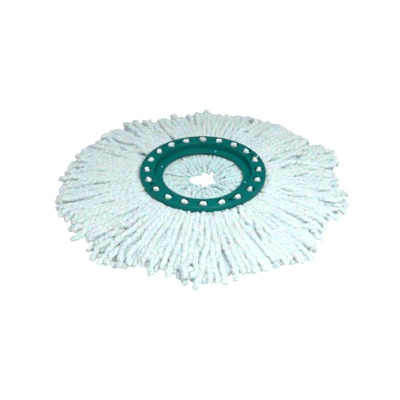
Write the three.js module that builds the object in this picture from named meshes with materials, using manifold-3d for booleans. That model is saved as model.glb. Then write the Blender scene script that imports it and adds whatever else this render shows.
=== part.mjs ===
// Disc mop head: a ring of two plastic hoops that snap together and hold tufts of microfibre cord in a
// circle. Long cords fan outwards over the floor and short cords fill the middle. The cords fold over the
// carrier ring, and each fold shows in a round hole of the top ring. The mop plate drops into the stepped
// recess of the top ring and rests on its inner flange.
// Units are millimetres. +Z is up, z = 0 is the floor, and the ring's axis is the Z axis.
import * as THREE from "three";
import { mergeVertices } from "three/addons/utils/BufferGeometryUtils.js";
import Module from "manifold-3d";

const wasm = await Module();
wasm.setup();

// Driving dimensions

const TUFTS = 20; // tufts, and holes, round the ring
const CLEARANCE = 0.4; // gap between pieces that touch

const RING_R = 70; // outer radius of the top ring
const BAND_WIDTH = 16; // width of its flat top face, from the skirt to the recess
const WALL_DRAFT = 1.2; // how far the recess wall leans in at its foot
const FLANGE_WIDTH = 8.3; // width of the flange at the foot of the recess
const RECESS_DEPTH = 7.5; // from the top face down to the flange
const SKIRT_DEPTH = 6.5; // from the top face down to the lower edge of the outer skirt
const SHELL = 2; // wall thickness of the top ring
const SKIRT_EDGE_R = 2; // rounding between the top face and the skirt
const RIM_EDGE_R = 0.6; // rounding at the recess and at the opening
const HOLE_R = 5; // radius of a tuft hole

const PIPS = 4; // locating pips on the flange
const PIP_R = 1.3;
const PIP_HEIGHT = 0.7;
const PIP_TUFT = 4; // the first pip lies in line with this tuft

const SNAPS = 4; // hooks that hold the two rings together
const SNAP_AFTER_TUFT = 1; // the first hook lies between this tuft and the next
const SLOT_LENGTH = 5; // along the ring
const SLOT_WIDTH = 3.6; // across the ring, above the ledge
const SLOT_LEDGE = 0.6; // how far the ledge stands into the slot on each side
const LEDGE_DEPTH = 1.4; // from the top face down to the ledge
const HOOK_SINK = 0.6; // the hook's head stays this far below the top face

const HOOP_WIDTH = 3.6; // section of the carrier ring
const HOOP_HEIGHT = 4;
const POST_LENGTH = 4.4; // spacer posts between the tufts, along the ring
const POST_WIDTH = 3; // and across it
const FOLD_HEIGHT = 6.6; // the folded cords stand this high above the carrier ring
const FOLD_RISE = 1.2; // and this far above the top face
const FOLD_END_GAP = 1.4; // the gap between a fold and its hole, along the ring
const FOLD_SIDE_GAP = 2; // and across it

const PILE_HEIGHT = 10.5; // thickness of the cords squeezed under the ring
const REACH = 160; // radius that the long cords reach
const TIP_HEIGHT = 8; // thickness of the fringe at its outer edge
const TIP_ROUND = 5; // how far the corners of a tuft fall short of its tip
const CREST_OFFSET = 5; // the long cords are thickest this far outside the skirt
const CREST_RISE = 1; // and rise this far above the skirt's lower edge there
const SHORT_REACH = 14; // radius at which the short cords end, near the middle
const SHORT_TIP_HEIGHT = 5;

// Derived dimensions

const flangeBottom = PILE_HEIGHT + CLEARANCE;
const flangeTop = flangeBottom + SHELL;
const ringTop = flangeTop + RECESS_DEPTH;
const topUnderside = ringTop - SHELL;
const skirtBottom = ringTop - SKIRT_DEPTH;
const skirtInnerR = RING_R - SHELL;
const seatR = RING_R - BAND_WIDTH;
const wallFootR = seatR - WALL_DRAFT;
const wallOuterR = seatR + SHELL;
const openingR = wallFootR - FLANGE_WIDTH;
const tuftCircleR = RING_R - BAND_WIDTH / 2;
const pitch = (2 * Math.PI) / TUFTS;

const foldTop = ringTop + FOLD_RISE;
const foldBottom = foldTop - FOLD_HEIGHT;
const foldAlong = HOLE_R - FOLD_END_GAP;
const foldAcross = HOLE_R - FOLD_SIDE_GAP;
const hoopTop = foldBottom - CLEARANCE;
const hoopBottom = hoopTop - HOOP_HEIGHT;
const hoopInnerR = tuftCircleR - HOOP_WIDTH / 2;
const hoopOuterR = tuftCircleR + HOOP_WIDTH / 2;

const RING_SEGMENTS = 4 * TUFTS;
const HOLE_SEGMENTS = 20;
const FILLET_STEPS = 3;
const FRINGE_STEPS = 4;

// Materials

const ringPlastic = new THREE.MeshStandardMaterial({ color: 0x007d76, roughness: 0.35, metalness: 0 });
const carrierPlastic = new THREE.MeshStandardMaterial({ color: 0x00665f, roughness: 0.5, metalness: 0 });
const microfibre = new THREE.MeshStandardMaterial({ color: 0xe9f3f2, roughness: 1, metalness: 0 });

// Shape helpers

function solidOf(geometry) {
  const bare = geometry.clone();
  bare.deleteAttribute("normal");
  bare.deleteAttribute("uv");
  const merged = mergeVertices(bare, 1e-4);
  const mesh = new wasm.Mesh({
    numProp: 3,
    vertProperties: merged.attributes.position.array,
    triVerts: new Uint32Array(merged.index.array),
  });
  return new wasm.Manifold(mesh);
}

function meshOf(name, solid, material) {
  const { vertProperties, triVerts } = solid.getMesh();
  const geometry = new THREE.BufferGeometry();
  geometry.setAttribute("position", new THREE.BufferAttribute(vertProperties, 3));
  geometry.setIndex(new THREE.BufferAttribute(triVerts, 1));
  geometry.computeVertexNormals();
  const mesh = new THREE.Mesh(geometry, material);
  mesh.name = name;
  return mesh;
}

// Turns a closed outline of [radius, height] points, listed anticlockwise, about the Z axis.
function turned(outline, segments) {
  const points = [...outline, outline[0]].map(([radius, height]) => new THREE.Vector2(radius, height));
  return solidOf(new THREE.LatheGeometry(points, segments).rotateX(Math.PI / 2));
}

function upright(shape, bottom, top, curveSegments = HOLE_SEGMENTS) {
  const settings = { depth: top - bottom, bevelEnabled: false, curveSegments };
  return solidOf(new THREE.ExtrudeGeometry(shape, settings).translate(0, 0, bottom));
}

function block(radial, along, bottom, top, radius, angle) {
  const box = new THREE.BoxGeometry(radial, along, top - bottom);
  return solidOf(box.translate(radius, 0, (bottom + top) / 2).rotateZ(angle));
}

function disc(radius, x, y, bottom, top) {
  const shape = new THREE.Shape();
  shape.absarc(x, y, radius, 0, 2 * Math.PI);
  return upright(shape, bottom, top, HOLE_SEGMENTS / 2);
}

// Points of a quarter-round fillet about [centreR, centreZ], from one angle to another.
function fillet(centreR, centreZ, radius, from, to) {
  const points = [];
  for (let i = 0; i <= FILLET_STEPS; i++) {
    const angle = from + ((to - from) * i) / FILLET_STEPS;
    points.push([centreR + radius * Math.cos(angle), centreZ + radius * Math.sin(angle)]);
  }
  return points;
}

const tuftAngle = (index) => index * pitch;
const snapAngle = (index) => (SNAP_AFTER_TUFT + 0.5) * pitch + (index * 2 * Math.PI) / SNAPS;
const pipAngle = (index) => tuftAngle(PIP_TUFT) + (index * 2 * Math.PI) / PIPS;

// Top ring: a flat face with the tuft holes, an outer skirt, and a stepped recess with an inner flange

function topRingOutline() {
  const quarter = Math.PI / 2;
  return [
    [openingR, flangeBottom],
    [wallOuterR, flangeBottom],
    [wallOuterR, topUnderside],
    [skirtInnerR, topUnderside],
    [skirtInnerR, skirtBottom],
    [RING_R, skirtBottom],
    ...fillet(RING_R - SKIRT_EDGE_R, ringTop - SKIRT_EDGE_R, SKIRT_EDGE_R, 0, quarter),
    ...fillet(seatR + RIM_EDGE_R, ringTop - RIM_EDGE_R, RIM_EDGE_R, quarter, 2 * quarter),
    [wallFootR, flangeTop],
    ...fillet(openingR + RIM_EDGE_R, flangeTop - RIM_EDGE_R, RIM_EDGE_R, quarter, 2 * quarter),
  ];
}

function tuftHole(index) {
  const x = tuftCircleR * Math.cos(tuftAngle(index));
  const y = tuftCircleR * Math.sin(tuftAngle(index));
  return disc(HOLE_R, x, y, topUnderside - SHELL / 2, ringTop + SHELL);
}

function snapSlot(index) {
  const angle = snapAngle(index);
  const ledge = ringTop - LEDGE_DEPTH;
  const mouth = block(SLOT_WIDTH, SLOT_LENGTH, ledge, ringTop + SHELL, tuftCircleR, angle);
  const throatWidth = SLOT_WIDTH - 2 * SLOT_LEDGE;
  const throat = block(throatWidth, SLOT_LENGTH, topUnderside - SHELL / 2, ringTop, tuftCircleR, angle);
  return mouth.add(throat);
}

function locatingPip(index) {
  const middleR = openingR + FLANGE_WIDTH / 2;
  const x = middleR * Math.cos(pipAngle(index));
  const y = middleR * Math.sin(pipAngle(index));
  return disc(PIP_R, x, y, flangeTop - SHELL / 2, flangeTop + PIP_HEIGHT);
}

function topRing() {
  let ring = turned(topRingOutline(), RING_SEGMENTS);
  for (let i = 0; i < TUFTS; i++) ring = ring.subtract(tuftHole(i));
  for (let i = 0; i < SNAPS; i++) ring = ring.subtract(snapSlot(i));
  for (let i = 0; i < PIPS; i++) ring = ring.add(locatingPip(i));
  return meshOf("top_ring", ring, ringPlastic);
}

// Carrier ring: a hoop inside the top ring that the cords fold over, with a post between every two tufts.
// Four of the posts go on up as snap hooks and catch on the ledges in the slots of the top ring.

function snapHook(index) {
  const angle = snapAngle(index);
  const length = SLOT_LENGTH - 2 * CLEARANCE;
  const headWidth = SLOT_WIDTH - 2 * CLEARANCE;
  const stemWidth = headWidth - 2 * SLOT_LEDGE;
  const headBottom = ringTop - LEDGE_DEPTH + CLEARANCE;
  const stem = block(stemWidth, length, hoopTop - HOOP_HEIGHT / 2, ringTop - HOOK_SINK, tuftCircleR, angle);
  const head = block(headWidth, length, headBottom, ringTop - HOOK_SINK, tuftCircleR, angle);
  return stem.add(head);
}

function carrierRing() {
  const hoop = [
    [hoopInnerR, hoopBottom],
    [hoopOuterR, hoopBottom],
    [hoopOuterR, hoopTop],
    [hoopInnerR, hoopTop],
  ];
  let ring = turned(hoop, RING_SEGMENTS);
  for (let i = 0; i < TUFTS; i++) {
    const angle = tuftAngle(i + 0.5);
    const foot = hoopTop - HOOP_HEIGHT / 2;
    ring = ring.add(block(POST_WIDTH, POST_LENGTH, foot, topUnderside - CLEARANCE, tuftCircleR, angle));
  }
  for (let i = 0; i < SNAPS; i++) ring = ring.add(snapHook(i));
  return meshOf("carrier_ring", ring, carrierPlastic);
}

// Tufts: each is one closed wedge of cords between its two neighbours

function wedge(tipR) {
  const half = pitch / 2;
  const apex = CLEARANCE / 2 / Math.sin(half);
  const sideR = tipR - TIP_ROUND;
  const x = sideR * Math.cos(half);
  const y = (x - apex) * Math.tan(half);
  const shape = new THREE.Shape();
  shape.moveTo(apex, 0);
  shape.lineTo(x, -y);
  shape.quadraticCurveTo(2 * tipR - x, 0, x, y);
  shape.closePath();
  return upright(shape, -1, ringTop, FRINGE_STEPS);
}

// The top of the fringe, from its crest just outside the skirt down to its tip.
function fringeTop() {
  const crestR = RING_R + CREST_OFFSET;
  const crestZ = skirtBottom + CREST_RISE;
  const points = [];
  for (let i = 0; i <= FRINGE_STEPS; i++) {
    const share = 1 - i / FRINGE_STEPS;
    const radius = crestR + (REACH - crestR) * share;
    points.push([radius, crestZ + (TIP_HEIGHT - crestZ) * share ** 1.3]);
  }
  return points;
}

function longTuft() {
  const legTop = (foldBottom + topUnderside) / 2;
  const legInnerR = hoopOuterR + CLEARANCE;
  const legOuterR = skirtInnerR - CLEARANCE;
  const innerR = tuftCircleR + CLEARANCE / 2;
  const fringe = turned(
    [
      [innerR, 0],
      [REACH, 0],
      ...fringeTop(),
      [RING_R + CLEARANCE, skirtBottom - CLEARANCE],
      [legOuterR, skirtBottom - CLEARANCE],
      [legOuterR, legTop],
      [legInnerR, legTop],
      [legInnerR, hoopBottom - CLEARANCE],
      [innerR, hoopBottom - CLEARANCE],
    ],
    RING_SEGMENTS,
  ).intersect(wedge(REACH));
  return fringe.add(fold());
}

// The domed fold of the cords, which stands in the hole of the top ring.
function fold() {
  const outline = [[0, foldBottom], [1, foldBottom]];
  for (let i = 0; i <= FILLET_STEPS; i++) {
    const angle = (Math.PI / 2) * (i / FILLET_STEPS);
    outline.push([Math.cos(angle), foldTop + foldAcross * (Math.sin(angle) - 1)]);
  }
  outline[outline.length - 1][0] = 0;
  const points = outline.map(([radius, height]) => new THREE.Vector2(radius, height));
  const dome = new THREE.LatheGeometry(points, HOLE_SEGMENTS).rotateX(Math.PI / 2);
  return solidOf(dome.scale(foldAcross, foldAlong, 1).translate(tuftCircleR, 0, 0));
}

function shortTuft() {
  const outerR = tuftCircleR - CLEARANCE / 2;
  const top = flangeBottom - CLEARANCE;
  return turned(
    [
      [SHORT_REACH, 0],
      [outerR, 0],
      [outerR, hoopBottom - CLEARANCE],
      [hoopInnerR - CLEARANCE, hoopBottom - CLEARANCE],
      [hoopInnerR - CLEARANCE, hoopTop],
      [wallOuterR + CLEARANCE, hoopTop],
      [wallOuterR + CLEARANCE, top],
      [openingR, top],
      [SHORT_REACH, SHORT_TIP_HEIGHT],
    ],
    RING_SEGMENTS,
  ).intersect(wedge(REACH));
}

function tuftMeshes() {
  const long = longTuft();
  const short = shortTuft();
  const meshes = [];
  for (let i = 0; i < TUFTS; i++) {
    const number = String(i + 1).padStart(2, "0");
    const made = [
      meshOf(`long_tuft_${number}`, long, microfibre),
      meshOf(`short_tuft_${number}`, short, microfibre),
    ];
    made.forEach((mesh) => {
      mesh.rotation.z = tuftAngle(i);
      meshes.push(mesh);
    });
  }
  return meshes;
}

const mopHead = new THREE.Group();
mopHead.add(topRing(), carrierRing(), ...tuftMeshes());

export default mopHead;
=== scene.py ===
"""A disc mop head lying on the floor: a moulded ring holding twenty tufts of white microfibre cord."""
import math

import bmesh
import bpy
import numpy as np
from mathutils import Matrix, Vector, noise
from mathutils.kdtree import KDTree


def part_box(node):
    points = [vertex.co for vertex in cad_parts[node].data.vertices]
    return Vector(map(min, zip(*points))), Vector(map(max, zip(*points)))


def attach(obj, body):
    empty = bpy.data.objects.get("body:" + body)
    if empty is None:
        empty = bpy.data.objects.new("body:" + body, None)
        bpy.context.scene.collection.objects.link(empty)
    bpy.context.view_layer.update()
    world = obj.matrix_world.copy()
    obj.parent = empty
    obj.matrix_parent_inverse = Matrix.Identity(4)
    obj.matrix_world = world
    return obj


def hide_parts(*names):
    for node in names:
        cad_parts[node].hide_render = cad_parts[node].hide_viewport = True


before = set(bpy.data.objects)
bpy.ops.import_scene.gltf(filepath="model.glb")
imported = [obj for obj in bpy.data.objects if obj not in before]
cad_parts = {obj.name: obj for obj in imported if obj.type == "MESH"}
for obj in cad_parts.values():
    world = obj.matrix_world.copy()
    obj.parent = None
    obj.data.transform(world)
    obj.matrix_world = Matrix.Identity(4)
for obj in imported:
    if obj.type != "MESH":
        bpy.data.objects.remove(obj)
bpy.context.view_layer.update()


# Camera
# A long lens in front of the head, about half a metre above the floor, that looks down at it. It takes in
# the whole fringe with a little floor round it.

CAMERA_PLACE = (-0.0032, -0.6370, 0.4613)
CAMERA_PITCH = math.radians(52.77)
CAMERA_LENS = 62.9
CAMERA_NEAR = 0.01

camera = bpy.data.objects.new("camera", bpy.data.cameras.new("camera"))
camera.data.lens = CAMERA_LENS
camera.data.clip_start = CAMERA_NEAR
camera.location = CAMERA_PLACE
camera.rotation_euler = (CAMERA_PITCH, 0, 0)
bpy.context.scene.collection.objects.link(camera)
bpy.context.scene.camera = camera


# Studio
# A wide white floor with a faint glow of its own, under a white sky that is dark halfway up, so that the
# ring and the yarn keep their shading. A soft lamp hangs over the front, and a wider one to the left.

FLOOR_HALF = 6.0
FLOOR_DROP = 0.0002
FLOOR_COLOR = (0.92, 0.92, 0.92, 1)
FLOOR_GLOW_COLOR = (1, 1, 1, 1)
FLOOR_GLOW = 0.62
SKY_STRENGTH = 0.57
SKY_TINT = (0.97, 0.985, 1)
SKY_BANDS = [
    # height, from 0 at the horizon to 1 overhead, and brightness
    (0.0, 1.3),
    (0.10, 0.70),
    (0.28, 0.20),
    (0.62, 0.07),
    (0.88, 0.70),
    (1.0, 0.90),
]
LAMPS = [
    # name, place, size, watts
    ("key", (0.13, -0.27, 0.46), 0.5, 3.3),
    ("fill", (-0.9, -0.1, 1.1), 1.0, 4),
]


def set_inputs(node, values):
    """Sets a shader node's inputs by their names, with _ for each space."""
    for socket, value in values.items():
        node.inputs[socket.replace("_", " ")].default_value = value


def principled(name, **values):
    """A new material with these values on its shader, with its node tree and that shader."""
    material = bpy.data.materials.new(name)
    material.use_nodes = True
    shader = material.node_tree.nodes["Principled BSDF"]
    set_inputs(shader, values)
    return material, material.node_tree, shader


def lay_floor():
    shape = bmesh.new()
    bmesh.ops.create_grid(shape, x_segments=1, y_segments=1, size=FLOOR_HALF,
                          matrix=Matrix.Translation((0, 0, -FLOOR_DROP)))
    mesh = bpy.data.meshes.new("floor")
    shape.to_mesh(mesh)
    shape.free()
    material, _, _ = principled("floor_paint", Base_Color=FLOOR_COLOR, Roughness=0.9,
                                Emission_Color=FLOOR_GLOW_COLOR, Emission_Strength=FLOOR_GLOW)
    mesh.materials.append(material)
    floor = bpy.data.objects.new("floor", mesh)
    bpy.context.scene.collection.objects.link(floor)


def hang_lamps():
    for name, place, size, watts in LAMPS:
        light = bpy.data.lights.new(name, "AREA")
        light.shape = "DISK"
        light.size = size
        light.energy = watts
        lamp = bpy.data.objects.new(name, light)
        lamp.location = place
        lamp.visible_camera = False
        lamp.rotation_euler = (-Vector(place)).to_track_quat("-Z", "Y").to_euler()
        bpy.context.scene.collection.objects.link(lamp)


def light_sky():
    world = bpy.data.worlds.new("studio")
    world.use_nodes = True
    nodes, link = world.node_tree.nodes, world.node_tree.links.new
    direction = nodes.new("ShaderNodeTexCoord")
    split = nodes.new("ShaderNodeSeparateXYZ")
    ramp = nodes.new("ShaderNodeValToRGB")
    bands = ramp.color_ramp.elements
    for _ in SKY_BANDS[2:]:
        bands.new(0.5)
    for band, (height, brightness) in zip(bands, SKY_BANDS):
        band.position = height
        band.color = [channel * brightness for channel in SKY_TINT] + [1]
    sky = nodes["Background"]
    sky.inputs["Strength"].default_value = SKY_STRENGTH
    link(direction.outputs["Generated"], split.inputs["Vector"])
    link(split.outputs["Z"], ramp.inputs["Fac"])
    link(ramp.outputs["Color"], sky.inputs["Color"])
    bpy.context.scene.world = world


lay_floor()
hang_lamps()
light_sky()
bpy.context.scene.view_settings.view_transform = "Standard"


# Top ring
# The moulded teal ring, one shot of polypropylene: a flat face with a hole for each tuft and four slots, a
# short skirt round the outside, and a stepped recess whose inner flange carries the mop plate.

MM = 0.001
TUFTS = 20
PITCH = 2 * math.pi / TUFTS
QUARTER = math.pi / 2
ring_low, ring_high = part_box("top_ring")
RING_R = ring_high.x
RING_TOP = ring_high.z
FLANGE_BOTTOM = ring_low.z
BAND_WIDTH = 16 * MM
WALL_DRAFT = 1.2 * MM
FLANGE_WIDTH = 8.3 * MM
RECESS_DEPTH = 7.5 * MM
SKIRT_DEPTH = 6.5 * MM
SHELL = 2 * MM
TUFT_CIRCLE_R = RING_R - BAND_WIDTH / 2
SEAT_R = RING_R - BAND_WIDTH
WALL_FOOT_R = SEAT_R - WALL_DRAFT
OPENING_R = WALL_FOOT_R - FLANGE_WIDTH
FLANGE_TOP = RING_TOP - RECESS_DEPTH
SKIRT_BOTTOM = RING_TOP - SKIRT_DEPTH
HOLE_R = 5 * MM
HOLE_SEGMENTS = 48
CUTTER_DEPTH = 6 * MM
RING_STEPS = 240
ROUNDING_STEPS = 5
EDGE_SOFTNESS = 0.35 * MM
SOFTENED_FROM = math.radians(50)
SHARP_FROM = math.radians(38)
SLOTS = 4
SLOT_LENGTH = 5 * MM
SLOT_WIDTH = 3.6 * MM
SLOT_LEDGE = 0.6 * MM
LEDGE_DEPTH = 1.4 * MM
THROAT_SHORTER = 0.2 * MM
FIRST_SLOT = 1.5 * PITCH
PIPS = 4
PIP_R = 1.3 * MM
PIP_TOP_R = 0.8 * PIP_R
PIP_HEIGHT = 0.7 * MM
PIP_ROUNDING = 0.3 * MM
PIP_SEGMENTS = 24
FIRST_PIP = 4 * PITCH
TEAL_TONES = [(0.0, 0.120, 0.109, 1), (0.0, 0.146, 0.131, 1)]
TEAL_GLOSS = (0.18, 0.30)
# The pips' paler teal is a painted highlight.
PIP_PAINTED_HIGHLIGHT_TONES = [(0.12, 0.42, 0.39, 1), (0.20, 0.60, 0.55, 1)]
TONE_ENDS = (0.3, 0.7)
# Painted shading on upright faces: darker down the recess's wall as painted shade, lighter on the outer
# skirt as painted light.
RECESS_WALL_PAINTED_SHADE = 0.68
SKIRT_PAINTED_LIGHT = 1.12
GRAIN_DEPTH = 0.12 * MM


def add_node(tree, kind, **values):
    """Adds a shader node of this kind, with these values on its inputs."""
    node = tree.nodes.new("ShaderNode" + kind)
    set_inputs(node, values)
    return node


def add_ramp(tree, colors, places):
    """Adds a color ramp between two colors that stand at these places."""
    ramp = tree.nodes.new("ShaderNodeValToRGB")
    for element, color, place in zip(ramp.color_ramp.elements, colors, places):
        element.color = color
        element.position = place
    return ramp


def moulded_plastic(name, tones, gloss):
    """Plastic with a fine moulded grain and faint flow marks, with painted shade on upright faces down the
    recess's wall and painted light on the outer skirt.
    """
    material, tree, shader = principled(name, Roughness=0.22, Specular_IOR_Level=0.08)
    link = tree.links.new
    place = add_node(tree, "TexCoord")
    flow = add_node(tree, "TexNoise", Scale=45, Detail=3)
    grain = add_node(tree, "TexNoise", Scale=1900, Detail=2)
    tint = add_ramp(tree, tones, TONE_ENDS)
    roughness = add_node(tree, "MapRange", To_Min=gloss[0], To_Max=gloss[1])
    facing = add_node(tree, "NewGeometry")
    upward = add_node(tree, "SeparateXYZ")
    from_axis = add_node(tree, "VectorMath")
    from_axis.operation = "LENGTH"
    # Painted shading by facing: upright faces are darkened toward the recess's wall and lightened toward
    # the skirt.
    painted_side_shading = add_node(tree, "MapRange", From_Min=SEAT_R + SHELL, From_Max=RING_R - SHELL,
                         To_Min=RECESS_WALL_PAINTED_SHADE, To_Max=SKIRT_PAINTED_LIGHT)
    painted_upright_shading = add_node(tree, "MapRange", To_Max=1)
    paint = add_node(tree, "VectorMath")
    paint.operation = "SCALE"
    bump = add_node(tree, "Bump", Strength=0.25, Distance=GRAIN_DEPTH)
    link(place.outputs["Object"], flow.inputs["Vector"])
    link(place.outputs["Object"], grain.inputs["Vector"])
    link(place.outputs["Object"], from_axis.inputs["Vector"])
    link(from_axis.outputs["Value"], painted_side_shading.inputs["Value"])
    link(painted_side_shading.outputs["Result"], painted_upright_shading.inputs["To Min"])
    link(flow.outputs["Fac"], tint.inputs["Fac"])
    link(facing.outputs["Normal"], upward.inputs["Vector"])
    link(upward.outputs["Z"], painted_upright_shading.inputs["Value"])
    link(tint.outputs["Color"], paint.inputs["Vector"])
    link(painted_upright_shading.outputs["Result"], paint.inputs["Scale"])
    link(paint.outputs["Vector"], shader.inputs["Base Color"])
    link(flow.outputs["Fac"], roughness.inputs["Value"])
    link(roughness.outputs["Result"], shader.inputs["Roughness"])
    link(grain.outputs["Fac"], bump.inputs["Height"])
    link(bump.outputs["Normal"], shader.inputs["Normal"])
    return material


def object_from(shape, name, *materials):
    """Makes a smooth shaded object of a bmesh, at the origin."""
    mesh = bpy.data.meshes.new(name)
    shape.to_mesh(mesh)
    shape.free()
    for material in materials:
        mesh.materials.append(material)
    mesh.polygons.foreach_set("use_smooth", [True] * len(mesh.polygons))
    piece = bpy.data.objects.new(name, mesh)
    bpy.context.scene.collection.objects.link(piece)
    return piece


def ring_section(shape):
    """The ring's section, as a closed loop in the XZ plane with its corners rounded."""
    corners = [
        # radius, height, rounding
        (OPENING_R, FLANGE_BOTTOM, 0.4 * MM),
        (SEAT_R + SHELL, FLANGE_BOTTOM, 0.5 * MM),
        (SEAT_R + SHELL, RING_TOP - SHELL, 0.4 * MM),
        (RING_R - SHELL, RING_TOP - SHELL, 0.4 * MM),
        (RING_R - SHELL, SKIRT_BOTTOM, 0.4 * MM),
        (RING_R, SKIRT_BOTTOM, 0.5 * MM),
        (RING_R, RING_TOP, 2.2 * MM),
        (SEAT_R, RING_TOP, 0.9 * MM),
        (WALL_FOOT_R, FLANGE_TOP, 0.5 * MM),
        (OPENING_R, FLANGE_TOP, 0.7 * MM),
    ]
    loop = [shape.verts.new((radius, 0, height)) for radius, height, _ in corners]
    shape.faces.new(loop)
    for vertex, (_, _, rounding) in zip(loop, corners):
        bmesh.ops.bevel(shape, geom=[vertex], offset=rounding, offset_type="OFFSET",
                        segments=ROUNDING_STEPS, profile=0.5, affect="VERTICES", material=-1)
    bmesh.ops.delete(shape, geom=shape.faces[:], context="FACES_ONLY")


def turned(angle, radius, height):
    """The place at this angle round the ring, turned with it."""
    return Matrix.Rotation(angle, 4, "Z") @ Matrix.Translation((radius, 0, height))


def ring_cutters():
    """A round cutter for each tuft hole, and a stepped cutter for each snap slot."""
    shape = bmesh.new()
    for index in range(TUFTS):
        bmesh.ops.create_cone(shape, cap_ends=True, segments=HOLE_SEGMENTS, radius1=HOLE_R, radius2=HOLE_R,
                              depth=CUTTER_DEPTH, matrix=turned(index * PITCH, TUFT_CIRCLE_R, RING_TOP))
    throat = Matrix.Diagonal((SLOT_WIDTH - 2 * SLOT_LEDGE, SLOT_LENGTH - THROAT_SHORTER, CUTTER_DEPTH, 1))
    mouth = Matrix.Diagonal((SLOT_WIDTH, SLOT_LENGTH, 2 * LEDGE_DEPTH, 1))
    for index in range(SLOTS):
        place = turned(FIRST_SLOT + index * QUARTER, TUFT_CIRCLE_R, RING_TOP)
        bmesh.ops.create_cube(shape, size=1, matrix=place @ throat)
        bmesh.ops.create_cube(shape, size=1, matrix=place @ mouth)
    return object_from(shape, "cutter")


def flange_pips():
    """Low round pips on the flange that locate the plate, painted paler than the ring as a painted
    highlight.
    """
    shape = bmesh.new()
    for index in range(PIPS):
        place = turned(FIRST_PIP + index * QUARTER, OPENING_R + FLANGE_WIDTH / 2, FLANGE_TOP)
        bmesh.ops.create_cone(shape, cap_ends=True, segments=PIP_SEGMENTS, radius1=PIP_R, radius2=PIP_TOP_R,
                              depth=2 * PIP_HEIGHT, matrix=place)
    rims = [edge for edge in shape.edges if all(vertex.co.z > FLANGE_TOP for vertex in edge.verts)]
    bmesh.ops.bevel(shape, geom=rims, offset=PIP_ROUNDING, offset_type="OFFSET", segments=3,
                    profile=0.5, affect="EDGES", material=-1)
    return object_from(shape, "pips", moulded_plastic("pip_painted_highlight_plastic", PIP_PAINTED_HIGHLIGHT_TONES, TEAL_GLOSS))


def apply_modifiers(piece):
    """Bakes an object's modifiers into its mesh."""
    graph = bpy.context.evaluated_depsgraph_get()
    mesh = bpy.data.meshes.new_from_object(piece.evaluated_get(graph))
    piece.modifiers.clear()
    piece.data = mesh


def make_top_ring():
    shape = bmesh.new()
    ring_section(shape)
    bmesh.ops.spin(shape, geom=shape.verts[:] + shape.edges[:], cent=(0, 0, 0), axis=(0, 0, 1),
                   angle=2 * math.pi, steps=RING_STEPS, use_merge=True)
    bmesh.ops.recalc_face_normals(shape, faces=shape.faces[:])
    ring = object_from(shape, "moulded_ring", moulded_plastic("ring_plastic", TEAL_TONES, TEAL_GLOSS))
    cutter = ring_cutters()
    cut = ring.modifiers.new("holes", "BOOLEAN")
    cut.object = cutter
    cut.operation = "DIFFERENCE"
    cut.use_self = True
    pips = flange_pips()
    join = ring.modifiers.new("pips", "BOOLEAN")
    join.object = pips
    join.operation = "UNION"
    join.material_mode = "TRANSFER"
    soften = ring.modifiers.new("soft_edges", "BEVEL")
    soften.width = EDGE_SOFTNESS
    soften.segments = 3
    soften.limit_method = "ANGLE"
    soften.angle_limit = SOFTENED_FROM
    apply_modifiers(ring)
    ring.data.set_sharp_from_angle(angle=SHARP_FROM)
    for spare in (cutter, pips):
        bpy.data.objects.remove(spare)
    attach(ring, "root")
    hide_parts("top_ring")


make_top_ring()


# Carrier ring
# The hoop inside the top ring that the cords fold over, with a post between the tufts and four snap hooks.
# It is the same plastic with a duller face, painted much darker than the ring as painted shade, seen only
# through the slots and past the folds.

# The carrier's much darker teal is painted shade.
CARRIER_PAINTED_SHADE_TONES = [(0.0, 0.022, 0.021, 1), (0.0, 0.032, 0.030, 1)]
CARRIER_GLOSS = (0.45, 0.6)

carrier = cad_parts["carrier_ring"]
carrier.data.materials.clear()
carrier.data.materials.append(moulded_plastic("carrier_plastic", CARRIER_PAINTED_SHADE_TONES, CARRIER_GLOSS))


# Yarn
# Thick soft microfibre yarn: two fluffy plies twisted together, with a knobbly pile of short fibres all
# over. Each cord is a straight length of it laid along a route, so every cord has its own knobs and lumps.

TWIST_PITCH = 15 * MM
PLY_DEPTH = 0.08
KNOB = 2.9 * MM
KNOB_HEIGHT = 1.5 * MM
KNOB_LEVEL = 0.3
FULL_KNOBS_R = 3 * MM
LUMP = 9 * MM
LUMP_SHARE = 0.22
END_ROUNDING = 2.6 * MM
THINNEST_END = 0.02
END_TAPER = 0.14
END_FRAY = 1.5
FRAYED_LENGTH = 6 * MM
LONG_ENOUGH_TO_FRAY = 30 * MM
# How strongly the creases between the knobs and between the plies get painted shade.
KNOB_CREASE = 0.75
PLY_CREASE = 0.35
FLOOR_GAP = 0.2 * MM
FIRST_SIDE = (0.05, 0.1, 1)
# Each yarn's clean colour, and the colour its painted shade leads to.
OUTER_WHITE = [(0.76, 0.88, 0.88, 1), (0.38, 0.48, 0.485, 1)]
# The inner yarn is tinted teal and a little deeper, as painted light bounced off the ring.
INNER_WHITE_PAINTED_TEAL_BOUNCE = [(0.67, 0.87, 0.865, 1), (0.30, 0.46, 0.46, 1)]
# How much each of these darkens the yarn, and what is taken off their sum. The crease, pile and loop
# darkening is painted shade.
CREASE_SHADE = 0.22
TONE_SHADE = 1.0
BURIED_SHADE = 0.26
LOOP_SHADE = 0.30
PATCH_SHADE = 0.16
SHADE_START = -0.17
LOOP_DEPTH = 1.1
PILE_DEPTH = 1 * MM

luck = np.random.default_rng(11)
tuft_pieces = []


def vertex_places(mesh):
    flat = np.zeros(len(mesh.vertices) * 3)
    mesh.vertices.foreach_get("co", flat)
    return flat.reshape(-1, 3)


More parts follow.
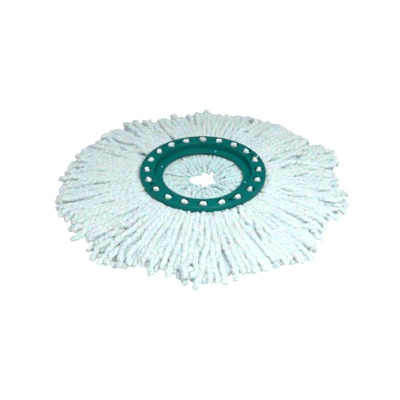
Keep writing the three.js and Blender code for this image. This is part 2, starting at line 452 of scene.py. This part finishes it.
def cord_blank(lobes, rings, length):
    """A closed cord, a two-lobed section of radius 1 spun up to height 1: its mesh, places and rings."""
    shape = bmesh.new()
    bmesh.ops.create_circle(shape, segments=lobes, radius=1)
    for vertex in shape.verts:
        angle = math.atan2(vertex.co.y, vertex.co.x)
        vertex.co *= 1 - PLY_DEPTH + PLY_DEPTH * math.cos(2 * angle)
    bmesh.ops.spin(shape, geom=shape.verts[:] + shape.edges[:], cent=(0, 0, 0), axis=(0, 0, 1),
                   dvec=(0, 0, 1 / rings), angle=2 * math.pi * length / TWIST_PITCH, steps=rings)
    bmesh.ops.holes_fill(shape, edges=[edge for edge in shape.edges if edge.is_boundary], sides=0)
    bmesh.ops.recalc_face_normals(shape, faces=shape.faces[:])
    mesh = bpy.data.meshes.new("cord_blank")
    shape.to_mesh(mesh)
    shape.free()
    return mesh, vertex_places(mesh), rings


def smooth_route(points, shares):
    """Points on a smooth curve through the route's points, at shares of its length from 0 to 1."""
    count = len(points)
    padded = np.vstack([2 * points[0] - points[1], points, 2 * points[-1] - points[-2]])
    at = np.clip(shares, 0, 1) * (count - 1)
    base = np.minimum(at.astype(int), count - 2)
    t = (at - base)[:, None]
    p0, p1, p2, p3 = (padded[base + offset] for offset in range(4))
    return 0.5 * (2 * p1 + (p2 - p0) * t + (2 * p0 - 5 * p1 + 4 * p2 - p3) * t ** 2
                  + (3 * p1 - p0 - 3 * p2 + p3) * t ** 3)


def carried_frames(centres):
    """A side and an up direction at every centre, carried along without twisting."""
    ahead = np.gradient(centres, axis=0)
    ahead /= np.maximum(np.linalg.norm(ahead, axis=1, keepdims=True), 1e-12)
    side = np.cross(ahead[0], FIRST_SIDE)
    sides = []
    for direction in ahead:
        side = side - direction * side.dot(direction)
        side /= np.linalg.norm(side)
        sides.append(side)
    sides = np.array(sides)
    return sides, np.cross(sides, ahead)


def cord_ends(from_end, length):
    """How full a cord is at each distance from its nearer end, and how frayed, both from 0 to 1."""
    full = np.sqrt(np.clip(1 - (1 - np.minimum(from_end / END_ROUNDING, 1)) ** 2, THINNEST_END, 1))
    frayed = np.exp(-(from_end / FRAYED_LENGTH) ** 2) * min(1, length / LONG_ENOUGH_TO_FRAY) ** 2
    return full, frayed


def lay_cord(blank, rings, points, radii):
    """Places of a blank's vertices laid along a route, and how deep each lies between knobs, 0 to 1, for
    painted shade in the creases.
    """
    shares = np.linspace(0, 1, rings + 1)
    centres = smooth_route(points, shares)
    sides, ups = carried_frames(centres)
    length = np.linalg.norm(np.diff(points, axis=0), axis=1).sum()
    full, frayed = cord_ends(np.minimum(shares, 1 - shares) * length, length)
    size = np.interp(shares, np.linspace(0, 1, len(radii)), radii) * full * (1 - END_TAPER * frayed)
    ring = np.clip(np.rint(blank[:, 2] * rings).astype(int), 0, rings)
    across = (blank[:, 0] + 1j * blank[:, 1]) * np.exp(2j * math.pi * luck.random())
    along = blank[:, 2] * length + luck.uniform(0, 1)
    straight = np.stack([across.real * radii.mean(), across.imag * radii.mean(), along], axis=1)
    nearest = np.array([noise.voronoi(place)[0][0] for place in straight / KNOB])
    lumps = np.array([noise.noise(place) for place in straight / LUMP])
    room = (full * np.minimum(1, radii.mean() / FULL_KNOBS_R))[ring]
    knobs = KNOB_HEIGHT * (KNOB_LEVEL - nearest ** 2) * room
    ragged = (1 + END_FRAY * frayed)[ring]
    reach = size[ring] * (1 + LUMP_SHARE * lumps * ragged) + knobs * ragged
    outward = across.real[:, None] * sides[ring] + across.imag[:, None] * ups[ring]
    placed = centres[ring] + reach[:, None] * outward
    placed[:, 2] = np.maximum(placed[:, 2], FLOOR_GAP)
    ply_groove = (1 - np.abs(across)) / (2 * PLY_DEPTH)
    return placed, np.clip(KNOB_CREASE * nearest ** 2 + PLY_CREASE * ply_groove, 0, 1)


def microfibre(name, tones):
    """White microfibre with a cool tint, with painted shade between the knobs, in the ply grooves, between
    the fibre loops and where other cords cover it.
    """
    material, tree, shader = principled(name, Roughness=0.95, Specular_IOR_Level=0.12,
                                        Sheen_Weight=0.2, Sheen_Roughness=0.5,
                                        Subsurface_Weight=0.5, Subsurface_Scale=0.002)
    link = tree.links.new
    place = add_node(tree, "TexCoord")
    loops = add_node(tree, "TexVoronoi", Scale=500, Randomness=1)
    fibres = add_node(tree, "TexNoise", Scale=1500, Detail=3)
    patches = add_node(tree, "TexNoise", Scale=60, Detail=2)
    for texture in (loops, fibres, patches):
        link(place.outputs["Object"], texture.inputs["Vector"])
    shades = []
    for stored, weight in (("painted_crease_shade", CREASE_SHADE), ("tone_and_painted_light", TONE_SHADE), ("painted_pile_shade", BURIED_SHADE)):
        attribute = add_node(tree, "Attribute")
        attribute.attribute_name = stored
        shades.append((attribute.outputs["Fac"], weight))
    # The distance from each fibre loop's middle paints shade into the crevices between the loops.
    shades.append((loops.outputs["Distance"], LOOP_SHADE))
    shades.append((patches.outputs["Fac"], PATCH_SHADE))
    total = None
    for source, weight in shades:
        add = add_node(tree, "Math")
        add.operation = "MULTIPLY_ADD"
        add.inputs[1].default_value = weight
        add.inputs[2].default_value = SHADE_START
        link(source, add.inputs[0])
        if total:
            link(total, add.inputs[2])
        total = add.outputs["Value"]
    tint = add_ramp(tree, tones, (0, 1))
    pile = add_node(tree, "Math")
    pile.operation = "MULTIPLY_ADD"
    pile.inputs[1].default_value = -LOOP_DEPTH
    bump = add_node(tree, "Bump", Strength=0.8, Distance=PILE_DEPTH)
    link(total, tint.inputs["Fac"])
    link(tint.outputs["Color"], shader.inputs["Base Color"])
    link(loops.outputs["Distance"], pile.inputs[0])
    link(fibres.outputs["Fac"], pile.inputs[2])
    link(pile.outputs["Value"], bump.inputs["Height"])
    link(bump.outputs["Normal"], shader.inputs["Normal"])
    return material


def store(piece, name, values):
    """Keeps one value for every vertex, for the yarn's material."""
    attribute = piece.data.attributes.new(name, "FLOAT", "POINT")
    attribute.data.foreach_set("value", values)


def bundle(name, node, material, strands):
    """One tuft's strands as one piece: each a blank, its route's points, their radii, and its greyness,
    which is painted light where it is below zero.
    """
    shape = bmesh.new()
    placed = []
    painted_crease_shades = []
    tones = []
    for (mesh, blank, rings), points, radii, grey in strands:
        shape.from_mesh(mesh)
        places, painted_crease_shade = lay_cord(blank, rings, points, radii)
        placed.append(places)
        painted_crease_shades.append(painted_crease_shade)
        # The greyness is the cord's own random tone, and painted light for the folds and the thread.
        tones.append(np.full(len(blank), grey))
    piece = object_from(shape, name, material)
    piece.data.vertices.foreach_set("co", np.concatenate(placed).ravel())
    piece.data.update()
    store(piece, "painted_crease_shade", np.concatenate(painted_crease_shades))
    store(piece, "tone_and_painted_light", np.concatenate(tones))
    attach(piece, "root")
    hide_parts(node)
    tuft_pieces.append(piece)


# Settling
# The cords are laid out in layers, then they sink and spread under their own weight until they lie on the
# floor and on each other. Their roots are held in the ring, and each cord keeps its length.

CORD_R = 3 * MM
SETTLE_STEPS = 150
SINK = 0.09 * MM
TOUCH_ROOM = 1.2 * MM
TOUCH_EVERY = 8
PUSH_SHARE = 0.35
STIFFNESS = 0.3
HELD_POINTS = 2


def touching(places, reach):
    """Pairs of points of different cords that are nearer than reach."""
    _, points, _ = places.shape
    flat = places.reshape(-1, 3)
    tree = KDTree(len(flat))
    for index, place in enumerate(flat):
        tree.insert(place, index)
    tree.balance()
    first, second = [], []
    for index, place in enumerate(flat):
        for _, other, _ in tree.find_range(place, reach):
            if other > index and other // points != index // points:
                first.append(index)
                second.append(other)
    return np.array(first), np.array(second)


def push_apart(places, pairs, girth):
    """Moves touching points apart, each by about a third of their overlap."""
    flat = places.reshape(-1, 3)
    first, second = pairs
    gap = flat[first] - flat[second]
    distance = np.maximum(np.linalg.norm(gap, axis=1), 1e-9)
    room = girth.reshape(-1)
    overlap = np.maximum(0, room[first] + room[second] - distance)
    move = gap * (PUSH_SHARE * overlap / distance)[:, None]
    for axis in range(3):
        flat[:, axis] += np.bincount(first, move[:, axis], len(flat))
        flat[:, axis] -= np.bincount(second, move[:, axis], len(flat))


def keep_length(places, step):
    """Holds every cord's points one step apart, in two passes over its odd and even links."""
    for start in (1, 2, 1, 2):
        a, b = places[:, start:-1:2], places[:, start + 1::2]
        count = min(a.shape[1], b.shape[1])
        a, b = a[:, :count], b[:, :count]
        link = b - a
        length = np.maximum(np.linalg.norm(link, axis=2, keepdims=True), 1e-9)
        pull = link * (0.5 * (1 - step[:, None, None] / length))
        a += pull
        b -= pull


def settle(places, girth, walls, lift):
    """Lets the cords come to rest. Their roots stay where they are, and lift bends a cord's end upwards."""
    held = places[:, :HELD_POINTS].copy()
    step = np.linalg.norm(np.diff(places, axis=1), axis=2).mean(axis=1)
    bend = places[:, 1:-1] - (places[:, :-2] + places[:, 2:]) / 2
    bend[:, :, 2] = -lift[:, 1:-1]
    for round_number in range(SETTLE_STEPS):
        if round_number % TOUCH_EVERY == 0:
            pairs = touching(places, 2 * CORD_R + TOUCH_ROOM)
        places[:, HELD_POINTS:, 2] -= SINK
        middle = (places[:, :-2] + places[:, 2:]) / 2 + bend
        places[:, 1:-1] += STIFFNESS * (middle - places[:, 1:-1])
        push_apart(places, pairs, girth)
        keep_length(places, step)
        places[:, :, 2] = np.maximum(places[:, :, 2], girth)
        walls(places, girth)
        places[:, :HELD_POINTS] = held


# Long cords
# Fifteen cords to a tuft come out from under the skirt and fan out over the floor. Two more of each tuft
# show as a rounded fold in its hole, where the yarn is looped over the carrier ring.

LONG_COLUMNS = 5
LONG_LAYERS = 3
LONG_POINTS = 27
LONG_ROOT_R = 64.5 * MM
THICKNESS = 1.28
GREYEST = 0.1
# Radius of a settling cord, in mm, at these distances from the head's axis, and by how much cords differ.
GIRTH_RADII = [64, 72, 78, 95, 110]
GIRTHS = [1.8, 2.35, 2.65, 2.85, 2.95]
GIRTH_CHANGE = 0.05
# How far each tuft reaches from the head's axis, in mm, anticlockwise from +X, and how its cords differ.
TUFT_REACH = [150, 165, 150, 150, 146, 148, 140, 149, 151, 155,
              159, 164, 158, 167, 156, 168, 159, 167, 151, 161]
LAYER_SHORTER = [8, 4, 0]
SCALLOP = 5
REACH_CHANGE = 2.6
STRAY_SHARE = 0.07
STRAY_LENGTHS = (3, 6.5)
# Where a cord lies in its tuft: its column, as a share of the tuft's width, and how the tuft opens out.
FIRST_COLUMN = 0.25
COLUMN_STAGGER = 0.5
COLUMN_CHANGE = 0.045
COLUMN_CHANGE_LIMIT = 0.05
SPREAD_ALONG = [0, 0.45, 0.75, 1]
SPREADS = [0.95, 1.02, 1.0]
TIP_SPREAD = 0.94
TIP_SPREAD_CHANGE = 0.05
# How a tuft and a cord wander sideways, more and more as they leave the ring.
TUFT_SWING = 2.2 * MM
CORD_SWAY = 2.4 * MM
SWAY_WAVES = (1.0, 2.2)
CORD_RIPPLE = 0.7 * MM
RIPPLE_WAVES = (2.5, 4.5)
CORD_CURL = 4.5 * MM
CURL_START = 0.8
CURL_RUN_SQUARED = 0.04
LOOSENING = 3
# Heights in mm before settling, and the upward bend of some ends.
FIRST_LAYER_HEIGHT = 2.4
LAYER_STEP = 4.4
HUMP_HEIGHT = 3.0
HUMP_CHANGE = 2.5
HUMP_WAVES = 1.8
LIFTS = (0.05, 0.3)
LIFTED_SHARE = 0.1
LIFTED_AFTER = 0.84
SKIRT_GAP = 0.3 * MM
# A low crest that the pile makes against the skirt, at these distances from the axis in mm.
SWELL_RADII = [70.5, 74.5, 78, 92]
MOST_SWELL = 0.3
SWELL_CHANGES = (0.7, 1.3)
# The two folds side by side in a hole, and how much each one differs.
FOLD_R = 2.8 * MM
FOLD_APART = 1.1 * MM
FOLD_BOTTOM = RING_TOP - 5 * MM
FOLD_TOP = RING_TOP + 1.7 * MM
FOLD_POINTS = 5
FOLD_SHIFT = 0.2 * MM
FOLD_CHANGE = 0.25 * MM
# Below zero, so the folds and the thread get painted light and are lighter than any cord.
FOLD_AND_THREAD_PAINTED_LIGHT = -0.15
# The one thin end of yarn that has come out of its hole.
THREAD_TUFT = 1
THREAD_R = 0.5 * MM
THREAD_STEPS = [
    # outward, sideways, up, in mm from the middle of the hole's rim
    (1, 0, -1),
    (2, 0.6, 1),
    (3, 1.3, 2.3),
    (3.8, 2.1, 3.0),
    (4.4, 3.0, 3.4),
]


def long_route(tuft, layer, column, swing, tip_spread, puff):
    """The start places of one long cord, and how much each of its points lifts it."""
    along = np.linspace(0, 1, LONG_POINTS)
    share = (column + FIRST_COLUMN + COLUMN_STAGGER * (layer % 2)) / LONG_COLUMNS - 0.5
    share += np.clip(luck.normal(0, COLUMN_CHANGE), -COLUMN_CHANGE_LIMIT, COLUMN_CHANGE_LIMIT)
    reach = TUFT_REACH[tuft] - LAYER_SHORTER[layer] - SCALLOP * (2 * share) ** 2
    reach += luck.normal(0, REACH_CHANGE)
    if luck.random() < STRAY_SHARE:
        reach += luck.uniform(*STRAY_LENGTHS)
    radius = LONG_ROOT_R + (reach * MM - LONG_ROOT_R) * along
    spread = np.interp(along, SPREAD_ALONG, SPREADS + [tip_spread])
    sway = luck.normal(0, CORD_SWAY) * np.sin(math.pi * along * luck.uniform(*SWAY_WAVES))
    ripple = luck.normal(0, CORD_RIPPLE)
    ripple = ripple * np.sin(2 * math.pi * (along * luck.uniform(*RIPPLE_WAVES) + luck.random()))
    curl = luck.normal(0, CORD_CURL) * np.maximum(0, along - CURL_START) ** 2 / CURL_RUN_SQUARED
    side = swing * along ** 2 + (sway + ripple + curl) * np.minimum(1, along * LOOSENING)
    angle = tuft * PITCH + share * PITCH * spread + side / radius
    hump = np.sin(math.pi * np.minimum(1, along * HUMP_WAVES))
    height = (FIRST_LAYER_HEIGHT + LAYER_STEP * layer + (HUMP_HEIGHT + puff) * hump) * MM
    lift = luck.uniform(*LIFTS) * MM * (luck.random() < LIFTED_SHARE * layer)
    route = np.stack([radius * np.cos(angle), radius * np.sin(angle), height], axis=1)
    return route, np.where(along > LIFTED_AFTER, lift, 0)


def fan_routes():
    """Start places of the long cords, as cords by points by XYZ, and how much each point lifts them."""
    cords = []
    for tuft in range(TUFTS):
        tip_spread = luck.normal(TIP_SPREAD, TIP_SPREAD_CHANGE)
        swing = luck.normal(0, TUFT_SWING)
        puff = luck.uniform(0, HUMP_CHANGE)
        for layer in range(LONG_LAYERS):
            for column in range(LONG_COLUMNS):
                cords.append(long_route(tuft, layer, column, swing, tip_spread, puff))
    routes, lifts = zip(*cords)
    return np.array(routes), np.array(lifts)


def skirt_wall(places, girth):
    """Keeps the long cords under the skirt, or outside it."""
    radius = np.hypot(places[:, :, 0], places[:, :, 1])
    over = places[:, :, 2] - (SKIRT_BOTTOM - SKIRT_GAP - girth)
    inside = RING_R + SKIRT_GAP + girth - radius
    hit = (over > 0) & (inside > 0)
    places[:, :, 2] -= np.where(hit & (over <= inside), over, 0)
    push = np.where(hit & (over > inside), inside / np.maximum(radius, 1e-9), 0)
    places[:, :, :2] *= 1 + push[:, :, None]


def swell(routes):
    """Raises the pile in a crest against the skirt, by each tuft's own amount, as if fluffed up."""
    radius = np.hypot(routes[:, :, 0], routes[:, :, 1]) / MM
    crest = np.interp(radius, SWELL_RADII, [0, 1, 1, 0])
    amounts = np.repeat(luck.uniform(0, MOST_SWELL, TUFTS), LONG_COLUMNS * LONG_LAYERS)
    amounts = amounts * luck.uniform(*SWELL_CHANGES, len(amounts))
    routes[:, :, 2] *= 1 + amounts[:, None] * crest


def fold_route(tuft, offset):
    """The upright end of a fold, from above the carrier ring's hoop to its crest."""
    place = turned(tuft * PITCH, TUFT_CIRCLE_R + luck.normal(0, FOLD_SHIFT), 0)
    lean = luck.normal(0, FOLD_CHANGE)
    crest = FOLD_TOP + luck.normal(0, FOLD_CHANGE)
    return np.array([place @ Vector((lean * share, offset, FOLD_BOTTOM + (crest - FOLD_BOTTOM) * share))
                     for share in np.linspace(0, 1, FOLD_POINTS)])


def thread_route(tuft):
    """A thin end of yarn that sticks up out of a hole."""
    place = turned(tuft * PITCH, TUFT_CIRCLE_R, RING_TOP)
    return np.array([place @ (Vector(step) * MM) for step in THREAD_STEPS])


def tuft_strands(tuft, cord, routes, girth):
    """One tuft's share of the settled cords, as strands drawn a little thicker than they settled."""
    per_tuft = len(routes) // TUFTS
    mine = range(tuft * per_tuft, (tuft + 1) * per_tuft)
    return [(cord, routes[index], THICKNESS * girth[index], luck.uniform(0, GREYEST)) for index in mine]


def make_long_cords():
    outer_white = microfibre("microfibre", OUTER_WHITE)
    routes, lifts = fan_routes()
    radius = np.hypot(routes[:, :, 0], routes[:, :, 1])
    girth = np.interp(radius / MM, GIRTH_RADII, GIRTHS) * MM
    girth *= luck.normal(1, GIRTH_CHANGE, (len(routes), 1))
    settle(routes, girth, skirt_wall, lifts)
    swell(routes)
    cord = cord_blank(lobes=18, rings=110, length=100 * MM)
    fold = cord_blank(lobes=20, rings=14, length=8 * MM)
    thread = cord_blank(lobes=8, rings=16, length=30 * MM)
    for tuft in range(TUFTS):
        strands = tuft_strands(tuft, cord, routes, girth)
        for side in (-1, 1):
            strands.append((fold, fold_route(tuft, side * FOLD_APART), np.full(2, FOLD_R), FOLD_AND_THREAD_PAINTED_LIGHT))
        if tuft == THREAD_TUFT:
            strands.append((thread, thread_route(tuft), np.full(2, THREAD_R), FOLD_AND_THREAD_PAINTED_LIGHT))
        bundle(f"long_cords_{tuft + 1:02d}", f"long_tuft_{tuft + 1:02d}", outer_white, strands)


make_long_cords()


# Short cords
# The inner ends of the tufts, of the same yarn: six cords to a tuft that run in under the flange, three on
# the floor and three on top of them, and meet round a small open middle.

SHORT_POINTS = 17
SHORT_ROOT_R = 59 * MM
SHORT_GIRTH = 2.25 * MM
SHORT_ROOT_GIRTHS = [1.7, 2.1]
SHORT_ROOT_POINTS = 4
# How far from the head's axis each tuft's longest short cord ends, in mm, anticlockwise from +X.
GAP_RADII = [14, 14, 16, 21, 15, 15, 12, 13, 12, 23, 15, 11, 17, 9, 10, 9, 9, 9, 26, 24]
NEAREST_END = 4.0
SHORT_REACH_CHANGE = 1.5
SHORT_SHARE_CHANGE = 0.05
SHORT_SWAY = 1.6 * MM
SHORT_SWAY_WAVES = (1, 2)
TIGHTEST_R = 12 * MM
FLANGE_GAP = 0.2 * MM
UNDER_FLANGE_R = OPENING_R - 2 * MM
MIDDLE_CEILING = 12 * MM
SHORT_CORDS = [
    # share of the tuft's width, how far the cord stops before the gap, starting height
    (-0.30, 22, 2.4),
    (0.02, 15, 2.4),
    (0.32, 24, 2.4),
    (-0.33, 8, 6.6),
    (0.0, 0, 7.0),
    (0.33, 5, 6.6),
]


def middle_routes():
    """Start places of the short cords, as cords by points by XYZ."""
    along = np.linspace(0, 1, SHORT_POINTS)
    routes = []
    for tuft in range(TUFTS):
        for share, short_by, root in SHORT_CORDS:
            share += luck.normal(0, SHORT_SHARE_CHANGE)
            reach = GAP_RADII[tuft] + short_by + luck.normal(0, SHORT_REACH_CHANGE)
            reach = max(NEAREST_END, reach) * MM
            radius = SHORT_ROOT_R + (reach - SHORT_ROOT_R) * along
            side = luck.normal(0, SHORT_SWAY) * np.sin(math.pi * along * luck.uniform(*SHORT_SWAY_WAVES))
            angle = tuft * PITCH + share * PITCH + side / np.maximum(radius, TIGHTEST_R)
            height = np.full(SHORT_POINTS, root * MM)
            routes.append(np.stack([radius * np.cos(angle), radius * np.sin(angle), height], axis=1))
    return np.array(routes)


def flange_wall(places, girth):
    """Keeps the short cords under the flange, and low inside its opening."""
    radius = np.hypot(places[:, :, 0], places[:, :, 1])
    under_flange = radius > UNDER_FLANGE_R
    ceiling = np.where(under_flange, FLANGE_BOTTOM - FLANGE_GAP - girth, MIDDLE_CEILING - girth)
    places[:, :, 2] = np.minimum(places[:, :, 2], ceiling)


def make_short_cords():
    # Same yarn, tinted teal as painted light bounced off the ring.
    inner_white_painted_bounce = microfibre("microfibre_inner_painted_teal_bounce", INNER_WHITE_PAINTED_TEAL_BOUNCE)
    routes = middle_routes()
    girth = np.full(routes.shape[:2], SHORT_GIRTH)
    girth[:, :SHORT_ROOT_POINTS] = np.linspace(*SHORT_ROOT_GIRTHS, SHORT_ROOT_POINTS) * MM
    settle(routes, girth, flange_wall, np.zeros(girth.shape))
    cord = cord_blank(lobes=16, rings=64, length=48 * MM)
    for tuft in range(TUFTS):
        strands = tuft_strands(tuft, cord, routes, girth)
        bundle(f"short_cords_{tuft + 1:02d}", f"short_tuft_{tuft + 1:02d}", inner_white_painted_bounce, strands)


make_short_cords()


# Shade in the pile
# Yarn that lies under other yarn sees less light, so it gets painted shade and is a little darker, and
# painted shadow most of all where it rests on the floor. The yarn's material reads how deep each vertex
# lies.

CELL = 1.5 * MM
CELLS = 240
FULL_SHADE = 7 * MM
FLOOR_SHADE_TOP = 5 * MM
FLOOR_SHADE = 2.4


def paint_pile_shade(pieces):
    """Stores painted shade for each vertex: how far it lies below the top of the pile, and more where it is
    near the floor.
    """
    top = np.zeros((CELLS, CELLS))
    places = [vertex_places(piece.data) for piece in pieces]
    cells = [np.clip((place[:, :2] / CELL + CELLS / 2).astype(int), 1, CELLS - 2) for place in places]
    for place, cell in zip(places, cells):
        np.maximum.at(top, (cell[:, 0], cell[:, 1]), place[:, 2])
    around = np.max([np.roll(top, (i, j), (0, 1)) for i in (-1, 0, 1) for j in (-1, 0, 1)], axis=0)
    for piece, place, cell in zip(pieces, places, cells):
        depth = around[cell[:, 0], cell[:, 1]] - place[:, 2]
        # Painted shadow under the cords where they rest on the floor.
        painted_floor_shade = FLOOR_SHADE * np.clip(1 - place[:, 2] / FLOOR_SHADE_TOP, 0, 1)
        store(piece, "painted_pile_shade", np.clip(depth / FULL_SHADE, 0, 1) + painted_floor_shade)


paint_pile_shade(tuft_pieces)
